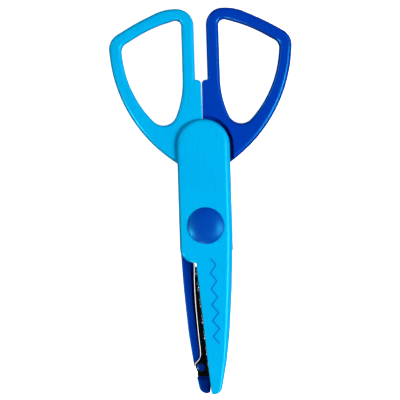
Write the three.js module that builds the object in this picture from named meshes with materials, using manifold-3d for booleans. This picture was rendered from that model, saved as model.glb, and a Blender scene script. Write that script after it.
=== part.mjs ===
/**
 * Craft scissors that cut a zigzag edge. Two moulded halves, each with a finger loop, a cover and
 * a blade arm, turn about one rivet, and each half carries a pressed zigzag blade. Shown closed.
 *
 * Millimetres. +Z points out of the front cap and +Y runs from the rivet towards the loops. The
 * rivet's axis is X = Y = 0, and the rear face lies on Z = 0. The rear half is the front half
 * turned 180 degrees about the long axis; only the zigzag's phase differs between the blades.
 */
import * as THREE from 'three';
import { mergeVertices } from 'three/addons/utils/BufferGeometryUtils.js';
import Module from 'manifold-3d';

const wasm = await Module();
wasm.setup();

// ---- Driving dimensions ----
const THICKNESS = 12; // over both covers
const MIDDLE = THICKNESS / 2; // level at which the halves part
const PARTING = 0.3; // half the space between the halves' inner faces
const FIT = 0.2; // clearance around a fitted piece
const LOOP_THICKNESS = 7;
const LOOP_CHAMFER = 0.8;
const COVER_CHAMFER = 0.6;
const CREVICE = 1.5; // space between a cover and the other half's loop
const COVER_HALF_WIDTH = 10.95;
const COVER_TOP = 44;
const COVER_HEEL = -15.2;
const ARM_TIP = -69.6;
const STOP_EDGE = -0.2; // the stop tabs meet across this small gap when the scissors are closed

const BLADE_THICKNESS = 0.7;
const BLADE_GAP = 0.3; // between the two blades, measured upwards
const BLADE_HEEL_RADIUS = 8.3;
const BLADE_TIP = -62.4;
const TIP_SEAT_END = -63.8; // the seat runs a little past the blade's tip
const ZIGZAG_PITCH = 6.6;
const ZIGZAG_HEIGHT = 2.5; // peak to peak
const ZIGZAG_START = 17.4; // distance of the first tooth from the rivet
const TOOTH_COUNT = 6;

const RIVET_RADIUS = 2.45;
const RIVET_HEAD_RADIUS = 4.3;
const RIVET_HEAD_HEIGHT = 1.1;
const WASHER_RADIUS = 4.9;
const WEB_TOP = 8.4; // floor of the recess that holds the washers
const RECESS_RADIUS = 6.6;
const CAP_RADIUS = 7.6;
const CAP_HEIGHT = 1.6;
const CAP_RIM_HEIGHT = 0.35;
const REAR_CAP_HEIGHT = 1;
const SPIGOT_RADIUS = RECESS_RADIUS - FIT;
const SPIGOT_BORE = SPIGOT_RADIUS - 1.2;
const SPIGOT_DEPTH = 2.2;

const TIP_PEG = { x: 3.75, y: -58.7, radius: 1.1, headRadius: 1.6, headHeight: 0.35 };
const HEEL_PEG = { x: 0, y: -11.6, radius: 1.4 };
const PEG_DEPTH = 2.4; // how far a peg reaches into its moulding

// ---- Outlines of the front half: corners as [x, y, rounding radius], anticlockwise ----
const ARM_AND_COVER = [
  [-COVER_HALF_WIDTH, COVER_TOP, 10.9],
  [-COVER_HALF_WIDTH, COVER_HEEL, 5.9],
  [-4.45, COVER_HEEL, 0.5],
  [0.25, ARM_TIP, 0.9],
  [4.25, ARM_TIP, 3.5],
  [6.95, -56, 60],
  [8.53, -44, 100],
  [9.95, -26, 150],
  [COVER_HALF_WIDTH, -5, 60],
  [COVER_HALF_WIDTH, COVER_TOP, 10.9],
];
const LOOP = [
  [-2.55, 89.95, 7],
  [-14.7, 89.95, 20],
  [-27.5, 84, 40],
  [-38.1, 77.7, 7],
  [-35.6, 44.3, 60],
  [-6, 22.2, 1.5],
  [STOP_EDGE, 22.2, 1.5],
  [STOP_EDGE, 60.3, 1.7],
  [-2.55, 60.3, 0.6],
];
const FINGER_HOLE = [
  [-7.7, 86.1, 2.4],
  [-20.5, 82, 30],
  [-32.9, 75, 4],
  [-30.8, 55.3, 46],
  [-14.3, 37.2, 5.6],
  [-7.8, 52.9, 39],
];
const OTHER_COVER_CLEARANCE = [
  [-COVER_HALF_WIDTH - CREVICE, COVER_TOP + CREVICE, 12.4],
  [-COVER_HALF_WIDTH - CREVICE, -20, 1],
  [COVER_HALF_WIDTH + CREVICE, -20, 1],
  [COVER_HALF_WIDTH + CREVICE, COVER_TOP + CREVICE, 12.4],
];
const BLADE = [
  [-BLADE_HEEL_RADIUS, BLADE_HEEL_RADIUS, 8.2],
  [-BLADE_HEEL_RADIUS, -4, 4],
  [-5.3, -13, 4],
  [-0.25, BLADE_TIP, 0.4],
  [5.45, BLADE_TIP, 0.5],
  [6.75, -56.8, 0.8],
  [4.05, -53.6, 3],
  [5.1, -41, 80],
  [5.75, -25, 60],
  [5.6, -14, 5],
  [BLADE_HEEL_RADIUS, -4, 4],
  [BLADE_HEEL_RADIUS, BLADE_HEEL_RADIUS, 8.2],
];
const HEEL_SEAT = [
  [-BLADE_HEEL_RADIUS - 0.4, BLADE_HEEL_RADIUS + 0.4, 8.6],
  [-BLADE_HEEL_RADIUS - 0.4, -13, 1],
  [-7, -19, 1],
  [6.6, -19, 0.5],
  [6.9, -15.5, 2],
  [BLADE_HEEL_RADIUS + 0.4, -10, 3],
  [BLADE_HEEL_RADIUS + 0.4, BLADE_HEEL_RADIUS + 0.4, 8.6],
];
const ZIGZAG_POCKET = [
  [-12, -16.8, 0.1],
  [-12, -57.8, 0.1],
  [3.5, -57.8, 1],
  [4.5, -51, 10],
  [6.45, -33, 60],
  [6.8, -16.8, 1],
];
const TIP_SEAT = [
  [-3, -52.8, 0.1],
  [-3, TIP_SEAT_END, 0.1],
  [9, TIP_SEAT_END, 0.1],
  [9, -56.2, 0.1],
  [6.9, -56.2, 0.8],
  [4.6, -52.8, 3],
];
const TIP_LEDGE = [
  [-3, -63, 0.1],
  [-3, ARM_TIP - 1, 0.1],
  [1.4, ARM_TIP - 1, 0.1],
  [0.85, -63, 0.1],
];

// ---- Materials ----
const lightBlue = new THREE.MeshStandardMaterial({ color: 0x00b1ee, roughness: 0.35, metalness: 0 });
const darkBlue = new THREE.MeshStandardMaterial({ color: 0x0038a8, roughness: 0.35, metalness: 0 });
const steel = new THREE.MeshStandardMaterial({ color: 0xb9bcc2, roughness: 0.25, metalness: 1 });

// ---- Geometry helpers ----
function toSolid(geometry) {
  geometry.deleteAttribute('normal');
  geometry.deleteAttribute('uv');
  const merged = mergeVertices(geometry, 1e-5);
  return new wasm.Manifold(new wasm.Mesh({
    numProp: 3,
    vertProperties: new Float32Array(merged.attributes.position.array),
    triVerts: new Uint32Array(merged.index.array),
  }));
}

function toGeometry(solid) {
  const { vertProperties, triVerts } = solid.getMesh();
  const geometry = new THREE.BufferGeometry();
  geometry.setAttribute('position', new THREE.BufferAttribute(vertProperties, 3));
  geometry.setIndex(new THREE.BufferAttribute(triVerts, 1));
  geometry.computeVertexNormals();
  return geometry;
}

// A closed outline whose corners are arcs that touch both neighbouring edges.
function roundedOutline(corners, path = new THREE.Shape()) {
  corners.forEach(([x, y, radius], i) => {
    const corner = new THREE.Vector2(x, y);
    const [beforeX, beforeY] = corners.at(i - 1);
    const [afterX, afterY] = corners[(i + 1) % corners.length];
    const towardsBefore = new THREE.Vector2(beforeX, beforeY).sub(corner).normalize();
    const towardsAfter = new THREE.Vector2(afterX, afterY).sub(corner).normalize();
    const halfAngle = Math.acos(towardsBefore.dot(towardsAfter)) / 2;
    const bisector = towardsBefore.clone().add(towardsAfter).normalize();
    const centre = bisector.multiplyScalar(radius / Math.sin(halfAngle)).add(corner);
    const tangent = radius / Math.tan(halfAngle);
    const start = towardsBefore.multiplyScalar(tangent).add(corner).sub(centre);
    const end = towardsAfter.multiplyScalar(tangent).add(corner).sub(centre);
    path.absarc(centre.x, centre.y, radius, start.angle(), end.angle(), start.cross(end) < 0);
  });
  path.closePath();
  return path;
}

// A straight-sided solid of an outline, from one level to another, with chamfered rims.
function slab(shape, bottom, top, chamfer = 0, curveSegments = 4) {
  const geometry = new THREE.ExtrudeGeometry(shape, {
    depth: top - bottom - 2 * chamfer,
    curveSegments,
    bevelEnabled: chamfer > 0,
    bevelThickness: chamfer,
    bevelSize: chamfer,
    bevelOffset: -chamfer,
    bevelSegments: 1,
  });
  return toSolid(geometry.translate(0, 0, bottom + chamfer));
}

// A solid of revolution about +Z; the profile is [radius, height] points from bottom to top.
function turned(profile, segments = 36) {
  const points = profile.map(([radius, height]) => new THREE.Vector2(radius, height));
  return toSolid(new THREE.LatheGeometry(points, segments).rotateX(Math.PI / 2));
}

function rod(radius, bottom, top, x = 0, y = 0, segments = 24) {
  return turned([[0, bottom], [radius, bottom], [radius, top], [0, top]], segments).translate([x, y, 0]);
}

// ---- Pieces of the front half ----
function moulding() {
  const underside = MIDDLE + PARTING;
  const cover = slab(roundedOutline(ARM_AND_COVER), MIDDLE - 2, THICKNESS, COVER_CHAMFER);
  const below = toSolid(new THREE.BoxGeometry(200, 300, MIDDLE).translate(0, 0, underside - MIDDLE / 2));
  const loopShape = roundedOutline(LOOP);
  loopShape.holes.push(roundedOutline(FINGER_HOLE, new THREE.Path()));
  const loopBottom = MIDDLE - LOOP_THICKNESS / 2;
  const loop = slab(loopShape, loopBottom, loopBottom + LOOP_THICKNESS, LOOP_CHAMFER);
  const otherCover = slab(roundedOutline(OTHER_COVER_CLEARANCE), -1, underside);
  const bladeSeat = MIDDLE + BLADE_GAP / 2 + BLADE_THICKNESS + FIT;
  const pocketFloor = bladeSeat + ZIGZAG_HEIGHT / 2;
  return cover
    .subtract(below)
    .add(loop.subtract(otherCover))
    .subtract(slab(roundedOutline(HEEL_SEAT), 0, bladeSeat))
    .subtract(slab(roundedOutline(ZIGZAG_POCKET), 0, pocketFloor))
    .subtract(slab(roundedOutline(TIP_LEDGE), 0, pocketFloor))
    .subtract(slab(roundedOutline(TIP_SEAT), 0, bladeSeat))
    .subtract(rod(RIVET_RADIUS + FIT, 0, THICKNESS + 1))
    .subtract(rod(RECESS_RADIUS, WEB_TOP, THICKNESS + 1))
    .subtract(rod(TIP_PEG.radius + FIT, 0, bladeSeat + PEG_DEPTH, TIP_PEG.x, TIP_PEG.y))
    .subtract(rod(HEEL_PEG.radius + FIT, 0, bladeSeat + PEG_DEPTH, HEEL_PEG.x, HEEL_PEG.y));
}

// A flat sheet pressed into teeth. Each row of the grid is an arc about the rivet, so the two
// blades slide in each other at every opening. The teeth fade out beside the spine.
function pressedSheet(phase) {
  const columns = 6;
  const toothColumns = 4;
  const radii = [ZIGZAG_START - 2.6];
  for (let i = 0; i <= 2 * TOOTH_COUNT; i += 1) {
    radii.push(ZIGZAG_START + i * ZIGZAG_PITCH / 2);
  }
  radii.push(-ARM_TIP);
  const rows = radii.length - 1;
  const geometry = new THREE.BoxGeometry(1, 1, BLADE_THICKNESS, columns, rows);
  const position = geometry.attributes.position;
  for (let i = 0; i < position.count; i += 1) {
    const column = Math.round((position.getX(i) + 0.5) * columns);
    const row = Math.round((0.5 - position.getY(i)) * rows);
    const radius = radii[row];
    const leftLimit = -7;
    const toothEnd = 5.3 - 0.1 * (radius - 16);
    const x = column <= toothColumns
      ? THREE.MathUtils.lerp(leftLimit, toothEnd, column / toothColumns)
      : [toothEnd + 1.2, 9][column - toothColumns - 1];
    const isTooth = column <= toothColumns && row > 1 && row < rows - 1;
    const lift = isTooth ? phase * (row % 2 === 0 ? 1 : -1) * ZIGZAG_HEIGHT / 2 : 0;
    position.setXYZ(i, x, -Math.sqrt(radius ** 2 - x ** 2), position.getZ(i) + lift);
  }
  return toSolid(geometry);
}

function blade(phase) {
  const level = MIDDLE + (BLADE_GAP + BLADE_THICKNESS) / 2;
  const sheet = pressedSheet(phase).translate([0, 0, level]);
  const heel = toSolid(new THREE.BoxGeometry(40, 32, BLADE_THICKNESS).translate(0, -0.3, level));
  return sheet
    .add(heel)
    .intersect(slab(roundedOutline(BLADE), 0, THICKNESS))
    .subtract(rod(RIVET_RADIUS + FIT, 0, THICKNESS))
    .subtract(rod(TIP_PEG.radius + FIT, 0, THICKNESS, TIP_PEG.x, TIP_PEG.y))
    .subtract(rod(HEEL_PEG.radius + FIT, 0, THICKNESS, HEEL_PEG.x, HEEL_PEG.y));
}

const bladeFace = MIDDLE + BLADE_GAP / 2;
const pegTop = bladeFace + BLADE_THICKNESS + PEG_DEPTH;

function tipPeg() {
  const { x, y, radius, headRadius, headHeight } = TIP_PEG;
  const headTop = bladeFace - 0.1;
  return turned([
    [0, headTop - headHeight],
    [headRadius, headTop - headHeight],
    [headRadius, headTop],
    [radius, headTop],
    [radius, pegTop],
    [0, pegTop],
  ], 24).translate([x, y, 0]);
}

function heelPeg() {
  return rod(HEEL_PEG.radius, bladeFace + 0.05, pegTop, HEEL_PEG.x, HEEL_PEG.y);
}

// ---- Pieces of the pivot ----
function rivet() {
  const frontHead = THICKNESS - 2.1;
  const rearHead = THICKNESS - frontHead;
  return turned([
    [0, rearHead - RIVET_HEAD_HEIGHT],
    [RIVET_HEAD_RADIUS, rearHead - RIVET_HEAD_HEIGHT],
    [RIVET_HEAD_RADIUS, rearHead],
    [RIVET_RADIUS, rearHead],
    [RIVET_RADIUS, frontHead],
    [RIVET_HEAD_RADIUS, frontHead],
    [RIVET_HEAD_RADIUS - 0.5, frontHead + RIVET_HEAD_HEIGHT],
    [0, frontHead + RIVET_HEAD_HEIGHT],
  ]);
}

function washer(bottom, top, dish = 0) {
  const bore = RIVET_RADIUS + FIT;
  return turned([
    [bore, bottom + dish],
    [WASHER_RADIUS, bottom],
    [WASHER_RADIUS, top - dish],
    [bore, top],
    [bore, bottom + dish],
  ]);
}

// A domed button with a spigot ring that presses into the recess around the rivet's head.
function frontCap() {
  const seat = THICKNESS + 0.1;
  const rimTop = seat + CAP_RIM_HEIGHT;
  const dome = Array.from({ length: 7 }, (_, i) => {
    const radius = CAP_RADIUS * (1 - i / 6);
    return [radius, rimTop + (CAP_HEIGHT - CAP_RIM_HEIGHT) * (1 - (radius / CAP_RADIUS) ** 2)];
  });
  return turned([
    [0, seat],
    [SPIGOT_BORE, seat],
    [SPIGOT_BORE, THICKNESS - SPIGOT_DEPTH],
    [SPIGOT_RADIUS, THICKNESS - SPIGOT_DEPTH],
    [SPIGOT_RADIUS, seat],
    [CAP_RADIUS, seat],
    ...dome,
  ]);
}

// The same button without the dome, sunk flush into the rear cover.
function rearCap() {
  const rim = REAR_CAP_HEIGHT - FIT;
  return turned([
    [0, 0],
    [CAP_RADIUS, 0],
    [CAP_RADIUS, rim],
    [SPIGOT_RADIUS, rim],
    [SPIGOT_RADIUS, SPIGOT_DEPTH],
    [SPIGOT_BORE, SPIGOT_DEPTH],
    [SPIGOT_BORE, rim],
    [0, rim],
  ]);
}

// ---- Assembly ----
function addPiece(parent, name, solid, material) {
  const mesh = new THREE.Mesh(toGeometry(solid), material);
  mesh.name = name;
  parent.add(mesh);
}

const scissors = new THREE.Group();

const frontHalf = new THREE.Group();
addPiece(frontHalf, 'front_half', moulding(), lightBlue);
addPiece(frontHalf, 'front_blade', blade(1), steel);
addPiece(frontHalf, 'front_tip_peg', tipPeg(), lightBlue);
addPiece(frontHalf, 'front_heel_peg', heelPeg(), lightBlue);
addPiece(frontHalf, 'front_cap', frontCap(), darkBlue);
addPiece(frontHalf, 'spring_washer', washer(WEB_TOP + 0.15, WEB_TOP + 0.85, 0.3), steel);
addPiece(frontHalf, 'flat_washer', washer(WEB_TOP + 0.95, WEB_TOP + 1.4), steel);
scissors.add(frontHalf);

const rearHalf = new THREE.Group();
rearHalf.position.z = THICKNESS;
rearHalf.rotation.y = Math.PI;
const capSeat = rod(CAP_RADIUS + FIT, THICKNESS - REAR_CAP_HEIGHT, THICKNESS + 1);
addPiece(rearHalf, 'rear_half', moulding().subtract(capSeat), darkBlue);
addPiece(rearHalf, 'rear_blade', blade(-1), steel);
addPiece(rearHalf, 'rear_tip_peg', tipPeg(), darkBlue);
addPiece(rearHalf, 'rear_heel_peg', heelPeg(), darkBlue);
addPiece(rearHalf, 'rear_washer', washer(WEB_TOP + 0.5, WEB_TOP + 1.1), steel);
scissors.add(rearHalf);

addPiece(scissors, 'rear_cap', rearCap(), lightBlue);
addPiece(scissors, 'pivot_rivet', rivet(), steel);

export default scissors;
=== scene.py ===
"""Craft scissors with zigzag blades: their looks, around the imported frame.

Metres. +Z comes out of the front cap, +Y runs from the rivet towards the finger loops, and the
rivet's axis is X = Y = 0. Sizes below are in millimetres: mesh() turns the points of a piece into
metres, and a factor MM does so elsewhere.
The rear half is the front half turned 180 degrees about the long axis, so each part of a half is
drawn once, in the front half's place, and turned() carries it over.
"""
import math

import bpy
import numpy as np
from mathutils.geometry import tessellate_polygon
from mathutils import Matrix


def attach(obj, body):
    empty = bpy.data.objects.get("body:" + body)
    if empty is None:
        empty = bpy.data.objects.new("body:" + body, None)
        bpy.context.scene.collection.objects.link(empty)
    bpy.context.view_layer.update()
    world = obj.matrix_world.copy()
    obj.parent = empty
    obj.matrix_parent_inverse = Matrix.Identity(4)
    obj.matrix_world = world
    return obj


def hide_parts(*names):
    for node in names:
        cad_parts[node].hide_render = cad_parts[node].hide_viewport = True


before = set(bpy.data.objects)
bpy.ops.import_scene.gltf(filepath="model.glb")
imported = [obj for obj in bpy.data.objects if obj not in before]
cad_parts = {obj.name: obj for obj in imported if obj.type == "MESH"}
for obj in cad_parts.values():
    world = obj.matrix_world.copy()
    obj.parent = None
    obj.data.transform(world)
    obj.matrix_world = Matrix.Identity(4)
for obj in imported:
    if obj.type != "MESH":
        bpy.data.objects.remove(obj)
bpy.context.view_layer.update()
FRONT, REAR = "front_half_body", "rear_half_body"

# ---- Sizes, in millimetres ----
MM = 0.001
THICKNESS = 12.0  # over both covers
MIDDLE = THICKNESS / 2
PARTING = 0.3  # half the space between the halves
LOOP_BOTTOM, LOOP_TOP = 2.5, 9.5
COVER_HALF = 10.95
COVER_TOP = 44.0
COVER_HEEL = -15.2
ARM_TIP = -69.6
CREVICE = 1.5
STOP_EDGE = -0.17

BLADE_THICKNESS = 0.7
BLADE_LEVEL = MIDDLE + 0.15 + BLADE_THICKNESS / 2
BLADE_SEAT = BLADE_LEVEL + BLADE_THICKNESS / 2 + 0.2
BLADE_TIP = -62.4
TIP_SEAT_END = -63.8
ZIGZAG_PITCH = 6.6
ZIGZAG_HEIGHT = 2.5
TOOTH_COUNT = 6
POCKET_FLOOR = BLADE_SEAT + ZIGZAG_HEIGHT / 2
# Distances from the rivet along the blade: its first row, its teeth, and the stretch where the
# rows turn from arcs about the rivet to the straight line of its square end.
BLADE_START = 12
ZIGZAG_START = 17.4
ZIGZAG_END = ZIGZAG_START + TOOTH_COUNT * ZIGZAG_PITCH
SQUARE_START = 57.3
SQUARE_END = 63.2

RIVET_HOLE = 2.65
PEG_HOLE = 1.3
RECESS_RADIUS = 6.6
WEB_TOP = 8.4
CAP_RADIUS = 7.6
CAP_HEIGHT = 1.6
SPIGOT_INNER, SPIGOT_OUTER = 5.2, 6.4
TIP_PEG = (3.75, -58.7)
BELOW, ABOVE = -1, 13  # levels clear of both covers, for cuts that go right through

# ---- Outlines, anticlockwise: corners as (x, y, rounding radius, rim depth of the next edge) ----
ARM_AND_COVER = np.array([
    (-COVER_HALF, COVER_TOP, 10.9, 1.7),
    (-COVER_HALF, COVER_HEEL, 5.9, 1.2),
    (-4.45, COVER_HEEL, 0.5, 0.5),
    (0.25, ARM_TIP, 0.9, 1.0),
    (4.25, ARM_TIP, 3.5, 1.3),
    (6.95, -56, 60, 2.2),
    (8.53, -44, 100, 2.6),
    (9.95, -26, 150, 2.8),
    (COVER_HALF, -5, 60, 2.6),
    (COVER_HALF, COVER_TOP, 10.9, 1.8),
])
LOOP = np.array([
    (-2.55, 89.95, 7, 1.7),
    (-14.7, 89.95, 20, 1.7),
    (-27.5, 84, 90, 1.7),
    (-38.1, 77.7, 7, 1.7),
    (-35.6, 44.3, 60, 1.7),
    (-6, 22.2, 1.5, 1.0),
    (-0.04, 22.2, 1.5, 0.6),
    (-0.04, 46, 60, 0.6),
    (STOP_EDGE, 60.3, 1.7, 0.6),
    (-2.55, 60.3, 0.4, 1.4),
])
FINGER_HOLE = np.array([
    (-7.7, 86.1, 2.4, 1.5),
    (-20.6, 82.2, 60, 1.5),
    (-32.9, 75, 4, 1.5),
    (-30.8, 55.3, 46, 1.5),
    (-14.3, 37.2, 5.6, 1.5),
    (-7.8, 52.9, 39, 1.5),
])
OTHER_COVER = np.array([
    (-COVER_HALF - CREVICE, COVER_TOP + CREVICE, 12.4, 0),
    (-COVER_HALF - CREVICE, -20, 1, 0),
    (COVER_HALF + CREVICE, -20, 1, 0),
    (COVER_HALF + CREVICE, COVER_TOP + CREVICE, 12.4, 0),
])
HEEL_SEAT = np.array([
    (-8.7, 8.7, 8.6, 0),
    (-8.7, -13, 1, 0),
    (-7, -19, 1, 0),
    (6.6, -19, 0.5, 0),
    (6.9, -15.5, 2, 0),
    (8.7, -10, 3, 0),
    (8.7, 8.7, 8.6, 0),
])
ZIGZAG_POCKET = np.array([
    (-12, -16.8, 0.1, 0),
    (-12, -57.8, 0.1, 0),
    (3.5, -57.8, 1, 0),
    (4.5, -51, 10, 0),
    (6.45, -33, 60, 0),
    (6.8, -16.8, 1, 0),
])
TIP_SEAT = np.array([
    (-3, -52.8, 0.1, 0),
    (-3, TIP_SEAT_END, 0.1, 0),
    (9, TIP_SEAT_END, 0.1, 0),
    (9, -56.2, 0.1, 0),
    (6.9, -56.2, 0.8, 0),
    (4.6, -52.8, 3, 0),
])
TIP_GAP = np.array([
    (-3, -62.5, 0.1, 0),
    (-3, TIP_SEAT_END, 0.1, 0),
    (9, TIP_SEAT_END, 0.1, 0),
    (9, -62.5, 0.1, 0),
])
TIP_LEDGE = np.array([
    (-3, -63, 0.1, 0),
    (-3, ARM_TIP - 1, 0.1, 0),
    (1.4, ARM_TIP - 1, 0.1, 0),
    (0.85, -63, 0.1, 0),
])
BLADE_HEEL = np.array([
    (-8.3, 8.3, 8.2, 0),
    (-8.3, -4, 4, 0),
    (-5.2, -13.4, 2, 0),
    (5.5, -13.4, 2, 0),
    (8.3, -4, 4, 0),
    (8.3, 8.3, 8.2, 0),
])
# The blade's spine, as (distance from the rivet, x).
SPINE = [
    (12, 5.6), (17, 5.6), (25, 5.75), (33, 5.5), (41, 5.0), (47, 4.55), (51.5, 4.15), (53.7, 4.1),
    (55.2, 4.5), (56.6, 5.6), (57.4, 6.35), (58.2, 6.6), (61, 6.0), (64, 5.5),
]


# ---- Meshes ----
def mesh(name, points, faces):
    """An object from points in millimetres; its place is in its mesh and it sits at the origin."""
    data = bpy.data.meshes.new(name)
    data.from_pydata((np.asarray(points) * MM).tolist(), [], [list(map(int, f)) for f in faces])
    data.validate()
    obj = bpy.data.objects.new(name, data)
    bpy.context.scene.collection.objects.link(obj)
    return obj


def tube_faces(rows, columns, first=0):
    """Quads between neighbours of a grid of points whose every row is a closed ring."""
    r = np.arange(rows - 1)[:, None]
    c = np.arange(columns)[None, :]
    c1 = (c + 1) % columns
    corners = [r * columns + c, r * columns + c1, (r + 1) * columns + c1, (r + 1) * columns + c]
    return np.stack(corners, -1).reshape(-1, 4) + first


def unit(vectors):
    return vectors / np.linalg.norm(vectors, axis=-1, keepdims=True)


def outline(corners, steps=14):
    """Points round a closed outline: every corner is an arc that touches both of its edges. Its
    centre lies on the corner's bisector, radius / sin(half angle) from the corner."""
    xy, radius = corners[:, :2], corners[:, 2]
    before = unit(np.roll(xy, 1, axis=0) - xy)
    after = unit(np.roll(xy, -1, axis=0) - xy)
    half = np.arccos(np.clip((before * after).sum(1), -1, 1)) / 2
    centre = xy + unit(before + after) * (radius / np.sin(half))[:, None]
    tangent = (radius / np.tan(half))[:, None]
    start = xy + before * tangent - centre
    end = xy + after * tangent - centre
    first = np.arctan2(start[:, 1], start[:, 0])
    last = np.arctan2(end[:, 1], end[:, 0])
    turn = (last - first + math.pi) % (2 * math.pi) - math.pi
    angle = first[:, None] + turn[:, None] * np.linspace(0, 1, steps)
    arc = np.stack([np.cos(angle), np.sin(angle)], -1) * radius[:, None, None]
    return (centre[:, None] + arc).reshape(-1, 2)


def rim_depths(corners):
    """At each corner the inward normals of the edge before it and of the edge after it, the sine
    of the turn between them, and the rim depths of both edges. A shallow corner has the mean of
    the depths, so a rim tapers along a gentle curve."""
    xy = corners[:, :2]
    along = unit(np.roll(xy, -1, axis=0) - xy)
    inward = np.stack([-along[:, 1], along[:, 0]], 1)
    inward0 = np.roll(inward, 1, axis=0)
    cross = inward0[:, 0] * inward[:, 1] - inward0[:, 1] * inward[:, 0]
    after = corners[:, 3]
    before = np.roll(after, 1)
    mean = (before + after) / 2
    shallow_sine = 0.35  # a turn of about 20 degrees
    shallow = np.abs(cross) < shallow_sine
    depths = np.where(shallow, mean, before), np.where(shallow, mean, after)
    return inward0, inward, cross, *depths


def inset(corners, side=1.0):
    """The same outline with each edge moved inwards by its rim depth times side. A corner moves
    to where its two moved edges cross, and its radius shrinks, or grows if it turns inwards."""
    least_radius = 0.05
    inward0, inward, cross, depth0, depth = rim_depths(corners)
    depth0, depth = depth0 * side, depth * side
    moved = corners.copy()
    moved[:, 0] += (depth0 * inward[:, 1] - depth * inward0[:, 1]) / cross
    moved[:, 1] += (depth * inward0[:, 0] - depth0 * inward[:, 0]) / cross
    change = np.where(cross > 0, -np.maximum(depth0, depth), np.minimum(depth0, depth))
    moved[:, 2] = np.maximum(corners[:, 2] + change, least_radius)
    return moved


def wall(corners, bottom, top, rims, side=1.0, steps=14, rim_steps=8):
    """The side of a slab with rounded rims, as a grid of rings: a ring at angle a of a rim lies
    1 - cos(a) of the way to the inset outline and sin(a) of the rim depth up or down."""
    outer, inner = outline(corners, steps), outline(inset(corners, side), steps)
    *_, before, after = rim_depths(corners)
    share = np.linspace(0, 1, steps)
    depth = (before[:, None] * (1 - share) + after[:, None] * share).ravel()

    def ring(angle, rounded, face, inwards):
        reach = rounded * (1 - math.cos(angle))
        level = face + inwards * (rounded * depth * (1 - math.sin(angle)))
        return np.column_stack([outer + (inner - outer) * reach, level])

    low, high = rims
    angles = np.linspace(0, math.pi / 2, rim_steps + 1)
    low_rings = [ring(a, low, bottom, 1) for a in (angles[::-1] if low else angles[:1])]
    high_rings = [ring(a, high, top, -1) for a in (angles if high else angles[:1])]
    return np.array(low_rings + high_rings)


def slab(name, corners, bottom, top, rims=(0, 0), holes=()):
    """A closed slab of an outline with holes. rims gives the share of each edge's rim depth that
    is rounded off at the bottom and at the top. The end faces are tessellated between their
    outlines, and each of their triangles is turned to face out."""
    walls = [wall(corners, bottom, top, rims)]
    walls += [wall(hole, bottom, top, rims, side=-1.0) for hole in holes]
    starts = np.cumsum([0] + [len(rings) * rings.shape[1] for rings in walls])
    faces = []
    for k, (rings, first) in enumerate(zip(walls, starts)):
        quads = tube_faces(*rings.shape[:2], first=first)
        faces += (quads if k == 0 else quads[:, ::-1]).tolist()
    for end in (0, -1):
        loops = [rings[end] for rings in walls]
        index = np.concatenate([
            np.arange(rings.shape[1]) + first + (0 if end == 0 else len(rings) - 1) * rings.shape[1]
            for rings, first in zip(walls, starts)
        ])
        triangles = np.array(tessellate_polygon([loop.tolist() for loop in loops]))
        flat = np.concatenate(loops)[:, :2]
        a, b, c = (flat[triangles[:, k]] for k in range(3))
        area = (b[:, 0] - a[:, 0]) * (c[:, 1] - a[:, 1]) - (b[:, 1] - a[:, 1]) * (c[:, 0] - a[:, 0])
        wrong = (area < 0) if end == -1 else (area > 0)
        triangles[wrong] = triangles[wrong][:, ::-1]
        faces += index[triangles].tolist()
    return mesh(name, np.concatenate([rings.reshape(-1, 3) for rings in walls]), faces)


def lathe(name, profile, centre=(0, 0), segments=96):
    """A solid of revolution about +Z: the profile's (radius, height) points run from the bottom of
    the axis to its top, and each is carried round a circle."""
    profile = np.array(profile, float)
    angle = np.linspace(0, 2 * math.pi, segments, endpoint=False)
    ring = np.stack([np.cos(angle), np.sin(angle)], -1)
    body = profile[1:-1]
    sides = np.concatenate([
        body[:, None, :1] * ring[None],
        np.broadcast_to(body[:, None, 1:], (len(body), segments, 1)),
    ], -1).reshape(-1, 3)
    poles = np.array([(0, 0, profile[0, 1]), (0, 0, profile[-1, 1])])
    points = np.concatenate([sides, poles]) + np.array([*centre, 0])
    faces = tube_faces(len(body), segments).tolist()
    here = np.arange(segments)
    after = (here + 1) % segments
    last_ring = (len(body) - 1) * segments
    low_pole, high_pole = np.full(segments, len(sides)), np.full(segments, len(sides) + 1)
    faces += np.stack([after, here, low_pole], 1).tolist()
    faces += np.stack([last_ring + here, last_ring + after, high_pole], 1).tolist()
    return mesh(name, points, faces)


def rod(name, radius, bottom=0, top=ABOVE, centre=(0, 0), segments=96):
    """A plain cylinder along Z, to cut a round hole or recess with."""
    return lathe(name, [(0, bottom), (radius, bottom), (radius, top), (0, top)], centre, segments)


def combine(obj, operation, tools):
    """Cuts the tools from obj, or joins them to it, and removes them."""
    for tool in tools:
        cut = obj.modifiers.new("cut", "BOOLEAN")
        cut.operation, cut.object, cut.solver = operation, tool, "MANIFOLD"
        graph = bpy.context.evaluated_depsgraph_get()
        made = bpy.data.meshes.new_from_object(obj.evaluated_get(graph))
        if len(made.vertices) == len(obj.data.vertices):
            raise RuntimeError(f"{operation} of {tool.name} changed nothing in {obj.name}")
        obj.modifiers.clear()
        obj.data = made
        bpy.data.objects.remove(tool)
    return obj


def turned(obj):
    """Carries a piece of the front half to the rear half: 180 degrees about the long axis."""
    co = np.empty(len(obj.data.vertices) * 3, np.float32)
    obj.data.vertices.foreach_get("co", co)
    co = co.reshape(-1, 3)
    co[:, 0] *= -1
    co[:, 2] = THICKNESS * MM - co[:, 2]
    obj.data.vertices.foreach_set("co", co.ravel())
    obj.data.update()
    return obj


def smooth(obj):
    """Rounded faces shade smoothly, edges past the angle stay crisp, and flat faces stay flat."""
    sharp_angle = math.radians(32)
    obj.data.shade_smooth()
    obj.data.set_sharp_from_angle(angle=sharp_angle)
    weigh = obj.modifiers.new("flat faces", "WEIGHTED_NORMAL")
    weigh.keep_sharp = True
    weigh.weight = 100


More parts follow.
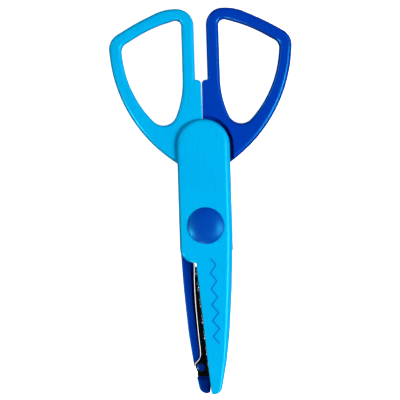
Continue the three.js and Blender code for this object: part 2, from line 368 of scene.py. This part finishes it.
# ---- Materials ----
def srgb(hex_colour):
    """Linear RGBA of an sRGB hex colour."""
    part = np.array([int(hex_colour[i:i + 2], 16) for i in (1, 3, 5)]) / 255
    linear = np.where(part <= 0.04045, part / 12.92, ((part + 0.055) / 1.055) ** 2.4)
    return (*linear, 1.0)


def node(tree, kind, settings=None, links=None, **inputs):
    """Adds a node, sets its attributes and input values, and links its inputs."""
    made = tree.nodes.new(kind)
    for key, value in (settings or {}).items():
        setattr(made, key, value)
    for key, value in inputs.items():
        made.inputs[key.replace("_", " ")].default_value = value
    for key, source in (links or {}).items():
        tree.links.new(source, made.inputs[key])
    return made


def new_material(name):
    made = bpy.data.materials.new(name)
    made.use_nodes = True
    made.node_tree.nodes.clear()
    return made, made.node_tree


# Nearly all of a noise pattern lies between these values. Each is spread from here to its use.
NOISE_SPAN = {"From_Min": 0.3, "From_Max": 0.7}


def moulded_abs(name, colour, shade, roughness):
    """Injection-moulded ABS from a finely polished tool: an even, deep colour with a soft gloss.
    Slow flow clouding shifts the colour a little, a fine orange peel breaks up the highlights,
    and hairline rubs from use vary the gloss."""
    material, tree = new_material(name)
    place = node(tree, "ShaderNodeTexCoord")
    clouding = node(tree, "ShaderNodeTexNoise", links={"Vector": place.outputs["Object"]},
                    Scale=1 / (14 * MM), Detail=2.0)
    cloud = node(tree, "ShaderNodeMapRange", links={"Value": clouding.outputs["Fac"]}, **NOISE_SPAN)
    tone = node(tree, "ShaderNodeMix", {"data_type": "RGBA"}, {"Factor": cloud.outputs["Result"]},
                A=srgb(colour), B=srgb(shade))
    along = node(tree, "ShaderNodeMapping", links={"Vector": place.outputs["Object"]},
                 Scale=(1 / (0.35 * MM), 1 / (6 * MM), 1 / (0.35 * MM)))
    rubs = node(tree, "ShaderNodeTexNoise", links={"Vector": along.outputs["Vector"]},
                Scale=1.0, Detail=3.0)
    gloss = node(tree, "ShaderNodeMapRange", links={"Value": rubs.outputs["Fac"]}, **NOISE_SPAN,
                 To_Min=roughness - 0.03, To_Max=roughness + 0.05)
    peel = node(tree, "ShaderNodeTexNoise", links={"Vector": place.outputs["Object"]},
                Scale=1 / (0.9 * MM), Detail=2.0)
    bump = node(tree, "ShaderNodeBump", links={"Height": peel.outputs["Fac"]},
                Strength=0.25, Distance=0.02 * MM)
    body = node(tree, "ShaderNodeBsdfPrincipled",
                links={"Base Color": tone.outputs["Result"], "Roughness": gloss.outputs["Result"],
                       "Normal": bump.outputs["Normal"]},
                IOR=1.53, Specular_Tint=(0.03, 0.72, 1.0, 1.0))
    node(tree, "ShaderNodeOutputMaterial", links={"Surface": body.outputs["BSDF"]})
    return material


def polished_stainless():
    """Pressed stainless sheet, polished along its length: a bright mirror with fine drawn lines
    that blur the reflection a little more across the blade than along it."""
    material, tree = new_material("polished_stainless_sheet")
    place = node(tree, "ShaderNodeTexCoord")
    drawn = node(tree, "ShaderNodeMapping", links={"Vector": place.outputs["Object"]},
                 Scale=(1 / (0.12 * MM), 1 / (9 * MM), 1 / (0.12 * MM)))
    lines = node(tree, "ShaderNodeTexNoise", links={"Vector": drawn.outputs["Vector"]},
                 Scale=1.0, Detail=4.0)
    gloss = node(tree, "ShaderNodeMapRange", links={"Value": lines.outputs["Fac"]}, **NOISE_SPAN,
                 To_Min=0.09, To_Max=0.14)
    bump = node(tree, "ShaderNodeBump", links={"Height": lines.outputs["Fac"]},
                Strength=0.06, Distance=0.01 * MM)
    body = node(tree, "ShaderNodeBsdfPrincipled",
                links={"Roughness": gloss.outputs["Result"], "Normal": bump.outputs["Normal"]},
                Base_Color=srgb("#c9cacd"), Metallic=1.0)
    node(tree, "ShaderNodeOutputMaterial", links={"Surface": body.outputs["BSDF"]})
    return material


def plated_steel():
    """Zinc-plated steel of the rivet and washers: a duller metal with a cloudy plating."""
    material, tree = new_material("zinc_plated_steel")
    place = node(tree, "ShaderNodeTexCoord")
    plating = node(tree, "ShaderNodeTexNoise", links={"Vector": place.outputs["Object"]},
                   Scale=1 / (1.5 * MM), Detail=4.0)
    gloss = node(tree, "ShaderNodeMapRange", links={"Value": plating.outputs["Fac"]}, **NOISE_SPAN,
                 To_Min=0.28, To_Max=0.42)
    body = node(tree, "ShaderNodeBsdfPrincipled", links={"Roughness": gloss.outputs["Result"]},
                Base_Color=srgb("#a9abb0"), Metallic=1.0)
    node(tree, "ShaderNodeOutputMaterial", links={"Surface": body.outputs["BSDF"]})
    return material


def pad_print_ink():
    """Pad-printed solvent ink: a thin, matt, darker blue film with a slightly uneven lay-down."""
    material, tree = new_material("pad_print_ink")
    place = node(tree, "ShaderNodeTexCoord")
    film = node(tree, "ShaderNodeTexNoise", links={"Vector": place.outputs["Object"]},
                Scale=1 / (0.6 * MM), Detail=2.0)
    lay_down = node(tree, "ShaderNodeMapRange", links={"Value": film.outputs["Fac"]}, **NOISE_SPAN)
    tone = node(tree, "ShaderNodeMix", {"data_type": "RGBA"}, {"Factor": lay_down.outputs["Result"]},
                A=srgb("#005cbc"), B=srgb("#0062c0"))
    body = node(tree, "ShaderNodeBsdfPrincipled", links={"Base Color": tone.outputs["Result"]},
                Roughness=0.5, IOR=1.5, Specular_Tint=(0.1, 0.7, 1.0, 1.0))
    node(tree, "ShaderNodeOutputMaterial", links={"Surface": body.outputs["BSDF"]})
    return material


LIGHT_BLUE = moulded_abs("moulded_abs_light_blue", "#00b1ed", "#00adea", 0.27)
DARK_BLUE = moulded_abs("moulded_abs_dark_blue", "#0039b0", "#0037ac", 0.23)
BUTTON_BLUE = moulded_abs("moulded_abs_button_blue", "#003fab", "#003da8", 0.36)
STAINLESS = polished_stainless()
PLATED = plated_steel()
INK = pad_print_ink()


def finish_piece(obj, material, body, slot, *nodes):
    """Gives a piece its material and its body, and hides the CAD nodes that it stands for."""
    smooth(obj)
    obj.data.materials.clear()
    obj.data.materials.append(material)
    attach(obj, body)
    if nodes:
        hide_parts(*nodes)


# ---- The two mouldings ----
def moulding(name):
    """A cover and arm slab with a soft shoulder, joined to a loop slab rounded on both faces,
    less the other cover's room, the blade's seats and pocket, and the holes of the pivot."""
    parting = MIDDLE + PARTING
    cover = slab("cover", ARM_AND_COVER, parting, THICKNESS, (0.25, 1))
    loop = slab(name, LOOP, LOOP_BOTTOM, LOOP_TOP, (1, 1), [FINGER_HOLE])
    room = slab("room", OTHER_COVER, BELOW, parting)
    combine(loop, "DIFFERENCE", [room])
    combine(loop, "UNION", [cover])
    return combine(loop, "DIFFERENCE", [
        slab("heel_seat", HEEL_SEAT, 0, BLADE_SEAT),
        slab("pocket", ZIGZAG_POCKET, 0, POCKET_FLOOR),
        slab("ledge", TIP_LEDGE, 0, POCKET_FLOOR),
        slab("tip_seat", TIP_SEAT, 0, BLADE_SEAT),
        slab("tip_gap", TIP_GAP, 0, POCKET_FLOOR),
        rod("rivet_hole", RIVET_HOLE),
        rod("recess", RECESS_RADIUS, WEB_TOP),
    ])


# ---- The blades ----
def tooth_lift(radius, phase):
    """Height of the pressed zigzag at a distance from the rivet: a triangle wave whose peaks are
    eased by an arcsine, and zero before the first tooth and after the last."""
    ease = 0.985  # 1 would give sharp peaks
    turn = (radius - ZIGZAG_START) / ZIGZAG_PITCH
    inside = (turn > 0) & (turn < TOOTH_COUNT)
    wave = np.arcsin(ease * np.sin(turn * 2 * math.pi)) / math.asin(ease)
    return np.where(inside, phase * wave * ZIGZAG_HEIGHT / 2, 0.0)


def blade(name, phase):
    """A plate section carried out from the rivet. Each row is an arc about the rivet, and its
    columns run from the cutting edge over the outer face to the spine and back under the inner
    face. Teeth rise by tooth_lift() and die out just past the other blade's cutting edge, so
    the strip beside the spine is flat. Cutting edge and spine have a shallow bright bevel."""
    radius = np.concatenate([
        np.linspace(BLADE_START, ZIGZAG_START, 6)[:-1],
        np.linspace(ZIGZAG_START, ZIGZAG_END, 145),
        np.linspace(SQUARE_START, SQUARE_END, 24),
    ])
    # Where each row's cutting edge, end of the teeth and spine lie. The spine's corners are
    # eased by a running mean over five rows.
    edge = -5.0 + 0.1 * (radius - 16)
    tooth_end = 0.05 - edge
    spine = np.interp(radius, *np.array(SPINE).T)
    running_mean = np.array([1, 2, 3, 2, 1]) / 9
    spine[4:-4] = np.convolve(spine, running_mean, "same")[4:-4]
    # The section's columns across the blade, and their levels from its middle.
    fade_width, edge_bevel, spine_bevel, spine_round, corner = 0.12, 1.0, 0.28, 0.12, 0.1
    inner = spine - spine_round - spine_bevel
    toothed = (tooth_end - edge - edge_bevel)[:, None]
    teeth = edge[:, None] + edge_bevel + np.linspace(0, 1, 7) * toothed
    fade = tooth_end[:, None] + fade_width * np.array([1.0, 1.4])
    flat = fade[:, -1:] + np.array([0.3, 0.7, 1.0]) * (inner - 0.04 - fade[:, -1])[:, None]
    over = np.column_stack([teeth, fade, flat])
    under = np.column_stack([over[:, ::-1], edge + edge_bevel / 2])
    x = np.column_stack([
        edge, over, spine - corner, spine, spine, spine - spine_round, inner, under, edge,
    ])
    half = BLADE_THICKNESS / 2
    level = np.array([
        -half + 0.22, *[half] * over.shape[1], half, half - corner, -half + spine_round + 0.15,
        -half + spine_round, -half, *[-half] * under.shape[1], -half + 0.05,
    ])
    # Rows are arcs about the rivet, and turn by and by into the straight end.
    share = 1 - np.clip((x - tooth_end[:, None]) / fade_width, 0, 1)
    y_arc = -np.sqrt(radius[:, None] ** 2 - x ** 2)
    ends = [SQUARE_START, SQUARE_END]
    straight = np.interp(radius, ends, [0, 1])[:, None]
    y_line = np.interp(radius, ends, [-SQUARE_START, BLADE_TIP])[:, None]
    y = y_arc * (1 - straight) + y_line * straight
    z = BLADE_LEVEL + level + tooth_lift(radius, phase)[:, None] * share
    rows, columns = x.shape
    faces = tube_faces(rows, columns)[:, ::-1].tolist()
    first_row = np.arange(columns)
    faces += [first_row.tolist(), (first_row[::-1] + (rows - 1) * columns).tolist()]
    plate = mesh(name, np.stack([x, y, z], -1).reshape(-1, 3), faces)
    combine(plate, "UNION", [slab("heel", BLADE_HEEL, BLADE_LEVEL - half, BLADE_LEVEL + half)])
    return combine(plate, "DIFFERENCE", [
        rod("rivet_hole", RIVET_HOLE),
        rod("peg_hole", PEG_HOLE, centre=TIP_PEG, segments=48),
    ])


# ---- Small parts ----
def arc_profile(centre, radius, start, end):
    """Points of an arc in the profile plane, angles in degrees from the outward direction."""
    a = np.radians(np.linspace(start, end, 6))
    return np.column_stack([centre[0] + radius * np.cos(a), centre[1] + radius * np.sin(a)])


def cap(name):
    """A button: a hollow spigot, a low rim with a small round, and a dome whose height above the
    rim falls by the cube of the distance from its middle."""
    seat = THICKNESS + 0.1
    spigot_end = seat - 2.3
    rim_height, rim_round = 0.2, 0.12
    dome_r = np.linspace(CAP_RADIUS - rim_round / 2, 0, 24)
    dome_z = seat + rim_height + (CAP_HEIGHT - rim_height) * (1 - (dome_r / CAP_RADIUS) ** 3)
    rim = arc_profile((CAP_RADIUS - rim_round, dome_z[0] - 0.1), rim_round, 0, 58)
    return lathe(name, [
        (0, seat), (SPIGOT_INNER, seat), (SPIGOT_INNER, spigot_end), (SPIGOT_OUTER, spigot_end),
        (SPIGOT_OUTER, seat), (CAP_RADIUS - 0.25, seat), (CAP_RADIUS, seat + 0.04), *rim,
        *zip(dome_r[1:], dome_z[1:]),
    ], segments=128)


def rear_button(name):
    """The flush button of the rear cover: a disc with a small round at its outer rim, and a hollow
    spigot."""
    rim_round, disc, spigot_end = 0.2, 0.8, 2.2
    rim = arc_profile((CAP_RADIUS - rim_round, rim_round), rim_round, -90, 0)
    return lathe(name, [
        (0, 0), *rim, (CAP_RADIUS, disc), (SPIGOT_OUTER, disc), (SPIGOT_OUTER, spigot_end),
        (SPIGOT_INNER, spigot_end), (SPIGOT_INNER, disc), (0, disc),
    ])


def peg(name):
    """A staked peg: a shank in the arm and an upset head, a raised rim about a sunken flat disc.
    The head faces the other half, below the blade's inner face."""
    face = BLADE_LEVEL - BLADE_THICKNESS / 2 - 0.03
    disc, crest = face - 0.02, face - 0.5
    shank, shank_end = 1.1, 9.2
    return lathe(name, [
        (0, disc), (0.9, disc), (0.98, face - 0.42), (1.06, crest), (1.16, crest),
        (1.48, face - 0.38), (1.6, face - 0.12), (1.5, face), (shank, face), (shank, shank_end),
        (0, shank_end),
    ], TIP_PEG, 64)


def zigzag_print():
    """The printed zigzag on the front arm: a line of even width along a zigzag, mitred at its
    turns. The turns lie one step below another, left and right in turn, on two lines that lean to
    the right, and the first and the last stroke are a little shorter."""
    start, step_down, half_width = -13.05, 3.27, 0.28
    k = np.arange(12)
    x = np.where(k % 2 == 0, 1.2 + 0.05 * k, 3.5 + 0.09 * k)
    line = np.column_stack([x, start - step_down * k])
    line[0] += 0.11 * (line[1] - line[0])
    line[-1] += 0.16 * (line[-2] - line[-1])
    stroke = unit(np.diff(line, axis=0))
    normal = np.column_stack([-stroke[:, 1], stroke[:, 0]])
    before, after = np.vstack([normal[:1], normal]), np.vstack([normal, normal[-1:]])
    mitre = unit(before + after)
    reach = mitre * (half_width / (mitre * after).sum(1))[:, None]
    left, right = line + reach, line - reach
    low, high = THICKNESS + 0.005, THICKNESS + 0.03
    section = [(left, low), (right, low), (right, high), (left, high)]
    points = np.stack([np.column_stack([p, np.full(len(p), z)]) for p, z in section], 1)
    faces = tube_faces(len(line), 4).tolist()
    faces += [[3, 2, 1, 0], [len(line) * 4 - 4 + i for i in range(4)]]
    return mesh("zigzag_print", points.reshape(-1, 3), faces)


finish_piece(moulding("front_moulding"), LIGHT_BLUE, FRONT, "light_blue_moulding", "front_half")
rear_moulding = moulding("rear_moulding")
flush_seat = rod("flush_seat", CAP_RADIUS + 0.2, THICKNESS - 1)
combine(rear_moulding, "DIFFERENCE", [flush_seat])
finish_piece(turned(rear_moulding), DARK_BLUE, REAR, "dark_blue_moulding", "rear_half")
finish_piece(blade("front_blade_plate", 1), STAINLESS, FRONT, "blade_steel", "front_blade")
finish_piece(turned(blade("rear_blade_plate", -1)), STAINLESS, REAR, "blade_steel", "rear_blade")
finish_piece(cap("front_button"), BUTTON_BLUE, FRONT, "dark_blue_button", "front_cap")
finish_piece(rear_button("rear_button"), LIGHT_BLUE, REAR, "light_blue_button", "rear_cap")
finish_piece(peg("front_peg"), LIGHT_BLUE, FRONT, "light_blue_moulding", "front_tip_peg")
finish_piece(turned(peg("rear_peg")), DARK_BLUE, REAR, "dark_blue_moulding", "rear_tip_peg")
finish_piece(zigzag_print(), INK, FRONT, "dark_blue_button")

# The pivot's steel parts and the heel pegs are shown by their CAD nodes.
for name, material in {
    "pivot_rivet": PLATED, "spring_washer": PLATED, "flat_washer": PLATED, "rear_washer": PLATED,
    "front_heel_peg": LIGHT_BLUE, "rear_heel_peg": DARK_BLUE,
}.items():
    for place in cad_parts[name].material_slots:
        place.material = material


# ---- Floor, light and camera ----
def pale_floor():
    """A plain white table, evenly lit where the camera sees it. To the rest of the scene it is a
    mid grey, so that the rims of the mouldings keep their own colour."""
    reach, level = 3000, -0.02
    floor = mesh("floor", [(-reach, -reach, level), (reach, -reach, level),
                           (reach, reach, level), (-reach, reach, level)], [(0, 1, 2, 3)])
    material, tree = new_material("pale_floor")
    seen = node(tree, "ShaderNodeLightPath")
    white = node(tree, "ShaderNodeBsdfPrincipled", Base_Color=srgb("#f4f5f6"), Roughness=0.9,
                 Emission_Color=(1, 1, 1, 1), Emission_Strength=1.0)
    grey = node(tree, "ShaderNodeBsdfDiffuse", Color=srgb("#5a5c5e"))
    both = node(tree, "ShaderNodeMixShader", links={"Fac": seen.outputs["Is Camera Ray"]})
    tree.links.new(grey.outputs["BSDF"], both.inputs[1])
    tree.links.new(white.outputs["BSDF"], both.inputs[2])
    node(tree, "ShaderNodeOutputMaterial", links={"Surface": both.outputs["Shader"]})
    floor.data.materials.append(material)


def soft_box(name, azimuth, elevation, watts, size=0.45):
    """A square soft box aimed at the pivot, azimuth in degrees anticlockwise from +X."""
    distance = 1.1
    data = bpy.data.lights.new(name, "AREA")
    data.shape, data.size, data.energy = "SQUARE", size, watts
    lamp = bpy.data.objects.new(name, data)
    bpy.context.scene.collection.objects.link(lamp)
    a, e = math.radians(azimuth), math.radians(elevation)
    lamp.location = (distance * math.cos(e) * math.cos(a), distance * math.cos(e) * math.sin(a),
                     distance * math.sin(e))
    lamp.rotation_euler = (math.pi / 2 - e, 0, a + math.pi / 2)
    return lamp


def studio():
    """A strong soft box on the right and a weak one on the left, two low fills, and two small
    lamps that only show as thin lines on the rims, under a dim ceiling."""
    soft_box("box_right", -16, 50, 13.3, size=0.5)
    soft_box("box_left", 191, 47, 2.6, size=0.5)
    soft_box("fill_right", 25, 25, 1.0)
    soft_box("fill_left", 150, 28, 2.6)
    for glint in (soft_box("glint_left", 206, 42, 9.0, size=0.14),
                  soft_box("glint_low", 258, 24, 7.0, size=0.14)):
        glint.visible_diffuse = False
    world = bpy.data.worlds.new("studio")
    world.use_nodes = True
    tree = world.node_tree
    tree.nodes.clear()
    place = node(tree, "ShaderNodeTexCoord")
    split = node(tree, "ShaderNodeSeparateXYZ", links={"Vector": place.outputs["Generated"]})
    height = node(tree, "ShaderNodeMapRange", links={"Value": split.outputs["Z"]},
                  From_Min=0.1, From_Max=0.8, To_Min=0.07, To_Max=0.001)
    seen = node(tree, "ShaderNodeLightPath")
    strength = node(tree, "ShaderNodeMix", {"data_type": "FLOAT"},
                    {"Factor": seen.outputs["Is Camera Ray"], "A": height.outputs["Result"]})
    strength.inputs["B"].default_value = 0.95
    glow = node(tree, "ShaderNodeBackground", links={"Strength": strength.outputs["Result"]},
                Color=(1, 1, 1, 1))
    node(tree, "ShaderNodeOutputWorld", links={"Surface": glow.outputs["Background"]})
    bpy.context.scene.world = world
    bpy.context.scene.view_settings.view_transform = "Standard"


def camera():
    """A long lens straight above, a little off the pivot and turned so that the tips lean right."""
    aim_x, aim_y, lean = -2.085, 10.665, -1.77
    view_width = 165.7 * MM  # what the frame spans at the halves' parting plane
    data = bpy.data.cameras.new("camera")
    data.lens, data.sensor_width = 200, 36
    distance = view_width * data.lens / data.sensor_width
    eye = bpy.data.objects.new("camera", data)
    bpy.context.scene.collection.objects.link(eye)
    eye.location = (aim_x * MM, aim_y * MM, distance + MIDDLE * MM)
    eye.rotation_euler = (0, 0, math.radians(lean))
    data.clip_start, data.clip_end = 0.05, 20
    bpy.context.scene.camera = eye


pale_floor()
studio()
camera()
